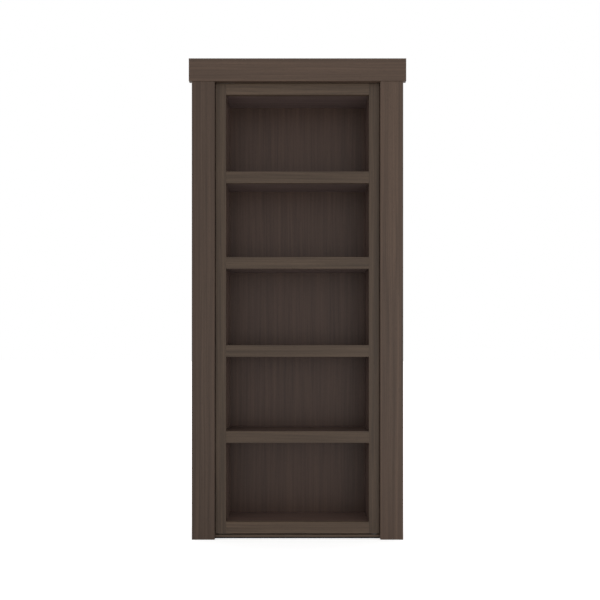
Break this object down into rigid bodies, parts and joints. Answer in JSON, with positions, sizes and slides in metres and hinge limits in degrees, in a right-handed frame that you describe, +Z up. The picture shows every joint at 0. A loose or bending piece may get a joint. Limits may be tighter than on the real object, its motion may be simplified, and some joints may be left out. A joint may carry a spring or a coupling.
{
  "type": "hidden door bookcase",
  "caption": "Face-framed shelf bookcase that turns on offset pivots as the door of a cased opening, with jambs, stops, head board, sill, magnetic catch and rear pull.",
  "frame": {"origin": "on the floor, under the middle of the whole object's width and depth", "axes": "+Z up, +Y into the wall towards the hidden room, +X to the right as seen from the front"},
  "size_m": [0.962, 0.226, 2.13],
  "materials": {
    "trim_wood": "dark brown stain, satin",
    "frame_wood": "dark brown stain, satin",
    "panel_wood": "dark brown stain, satin",
    "hidden_wood": "dark brown stain, satin",
    "dark_steel": "dark bronze plated, brushed",
    "black_metal": "satin black",
    "seal_rubber": "matt black rubber",
    "bush_bronze": "oiled bronze"
  },
  "bodies": {
    "frame": {"casing_left": "trim_wood", "casing_right": "trim_wood", "head_casing": "trim_wood", "jamb_left": "hidden_wood", "jamb_right": "hidden_wood", "head_jamb": "hidden_wood", "sill_plate": "frame_wood", "latch_stop": "hidden_wood", "head_stop": "hidden_wood", "hinge_side_strip": "hidden_wood", "sill_seal": "seal_rubber", "magnet_catch": "black_metal", "bottom_pivot_plate": "dark_steel", "top_pivot_plate": "dark_steel", "bottom_plate_screw_outer": "dark_steel", "bottom_plate_screw_inner": "dark_steel", "top_plate_screw_outer": "dark_steel", "top_plate_screw_inner": "dark_steel", "bottom_pivot_pin": "dark_steel", "top_pivot_pin": "dark_steel", "thrust_washer": "bush_bronze"},
    "door": {"stile_left": "frame_wood", "stile_right": "frame_wood", "top_rail": "frame_wood", "bottom_rail": "frame_wood", "side_left": "panel_wood", "side_right": "panel_wood", "top_panel": "panel_wood", "bottom_panel": "panel_wood", "base_panel": "hidden_wood", "cap_panel": "hidden_wood", "back_panel": "panel_wood", "shelf_1_nosing": "frame_wood", "shelf_1_top": "panel_wood", "shelf_1_underside": "panel_wood", "shelf_1_cleat_left": "hidden_wood", "shelf_1_cleat_right": "hidden_wood", "shelf_2_nosing": "frame_wood", "shelf_2_top": "panel_wood", "shelf_2_underside": "panel_wood", "shelf_2_cleat_left": "hidden_wood", "shelf_2_cleat_right": "hidden_wood", "shelf_3_nosing": "frame_wood", "shelf_3_top": "panel_wood", "shelf_3_underside": "panel_wood", "shelf_3_cleat_left": "hidden_wood", "shelf_3_cleat_right": "hidden_wood", "shelf_4_nosing": "frame_wood", "shelf_4_top": "panel_wood", "shelf_4_underside": "panel_wood", "shelf_4_cleat_left": "hidden_wood", "shelf_4_cleat_right": "hidden_wood", "door_bottom_plate": "dark_steel", "door_top_plate": "dark_steel", "bottom_bush": "bush_bronze", "top_bush": "bush_bronze", "catch_strike": "dark_steel", "pull_handle": "black_metal", "pull_screw_lower": "black_metal", "pull_screw_upper": "black_metal"}
  },
  "joints": [
    {"name": "door_swing", "type": "hinge", "parent": "frame", "child": "door", "pos_m": [-0.3235, -0.062, 0.022], "axis": [0, 0, -1], "range_deg": [0, 100]}
  ]
}
